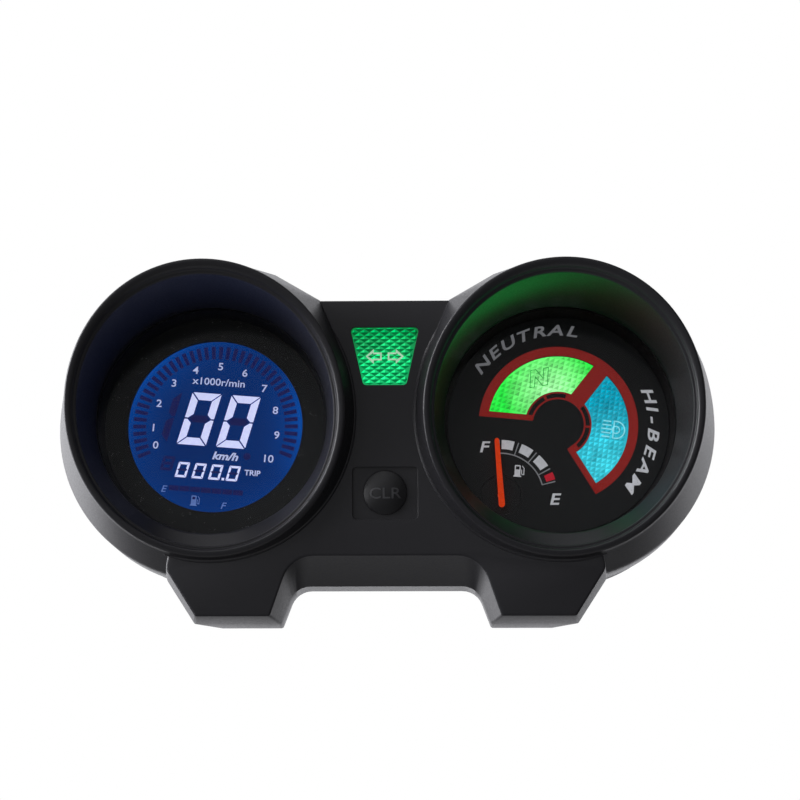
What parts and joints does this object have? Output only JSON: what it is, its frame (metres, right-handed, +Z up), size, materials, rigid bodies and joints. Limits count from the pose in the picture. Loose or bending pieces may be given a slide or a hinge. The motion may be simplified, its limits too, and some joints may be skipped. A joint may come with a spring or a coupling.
{
  "type": "instrument cluster",
  "caption": "Twin-pod motorcycle instrument cluster: hooded round LCD, hooded indicator dial with a fuel needle, bridge with a signal window and push button.",
  "frame": {"origin": "midway between the two upper mounting holes, on the rear mounting face", "axes": "+X to the right as the rider sees it, +Z up, dials face -Y"},
  "size_m": [0.25, 0.1012, 0.1383],
  "materials": {
    "cover_plastic": "matte black fine-grained moulding",
    "case_plastic": "matte black moulding",
    "seal_rubber": "black rubber",
    "clear_lens": "clear acrylic lens, polished",
    "dial_black": "matte black, finely textured",
    "lcd_glass": "dark blue negative LCD, backlit",
    "diffuser_white": "milky light guide",
    "white_plastic": "white reflective moulding",
    "board_green": "glass-fibre circuit board with green mask",
    "led_white": "surface-mounted lamps",
    "chip_black": "moulded chip package",
    "component_blue": "sleeved capacitors",
    "dial_print": "screen-printed matte black sheet",
    "green_lens": "prismatic translucent green",
    "blue_lens": "prismatic translucent blue",
    "gauge_black": "black moulding",
    "bobbin_plastic": "natural moulding",
    "coil_copper": "enamelled copper winding",
    "magnet_iron": "bonded magnet",
    "steel": "zinc-plated steel",
    "needle_orange": "fluorescent orange-red",
    "button_rubber": "matte black soft-touch cap",
    "plunger_plastic": "moulded plunger",
    "ribbon_grey": "flat cable sheath",
    "connector_plastic": "natural moulding",
    "terminal_metal": "tinned terminals",
    "insert_brass": "knurled brass"
  },
  "bodies": {
    "housing": {"front_cover": "cover_plastic", "rear_case": "case_plastic", "case_seal": "seal_rubber", "left_lens": "clear_lens", "right_lens": "clear_lens", "left_lens_seal": "seal_rubber", "right_lens_seal": "seal_rubber", "left_dial_mask": "dial_black", "lcd_panel": "lcd_glass", "lcd_light_guide": "diffuser_white", "lcd_frame": "white_plastic", "lcd_contact_strips": "seal_rubber", "display_board": "board_green", "backlight_leds": "led_white", "display_controller": "chip_black", "display_components": "component_blue", "right_dial_ring": "dial_black", "right_dial_plate": "dial_print", "neutral_lens": "green_lens", "high_beam_lens": "blue_lens", "indicator_light_box": "white_plastic", "indicator_leds": "led_white", "indicator_board": "board_green", "gauge_case": "gauge_black", "gauge_bobbin": "bobbin_plastic", "gauge_coils": "coil_copper", "turn_signal_lens": "green_lens", "turn_signal_light_box": "white_plastic", "turn_signal_leds": "led_white", "bridge_board": "board_green", "button_seal": "seal_rubber", "reset_switch": "chip_black", "left_ribbon": "ribbon_grey", "right_ribbon": "ribbon_grey", "connector_socket": "connector_plastic", "connector_pins": "terminal_metal", "connector_lead": "ribbon_grey", "mounting_inserts": "insert_brass", "case_screws": "steel", "dial_screws": "steel", "board_screws": "steel", "bridge_board_screws": "steel"},
    "needle": {"fuel_needle": "needle_orange", "gauge_shaft": "steel", "gauge_magnet": "magnet_iron"},
    "button": {"reset_button": "button_rubber"},
    "plunger": {"switch_plunger": "plunger_plastic"}
  },
  "joints": [
    {"name": "fuel_needle_turn", "type": "hinge", "parent": "housing", "child": "needle", "pos_m": [0.0433, -0.046, -0.0474], "axis": [0, 1, 0], "range_deg": [0, 82]},
    {"name": "reset_button_press", "type": "slide", "parent": "housing", "child": "button", "axis": [0, 0.9829, 0.184], "range_m": [0, 0.001]},
    {"name": "switch_plunger_press", "type": "slide", "parent": "housing", "child": "plunger", "axis": [0, 0.9829, 0.184], "range_m": [0, 0.001]}
  ],
  "couplings": [
    {"joint": "switch_plunger_press", "follows": "reset_button_press", "ratio": 1}
  ]
}
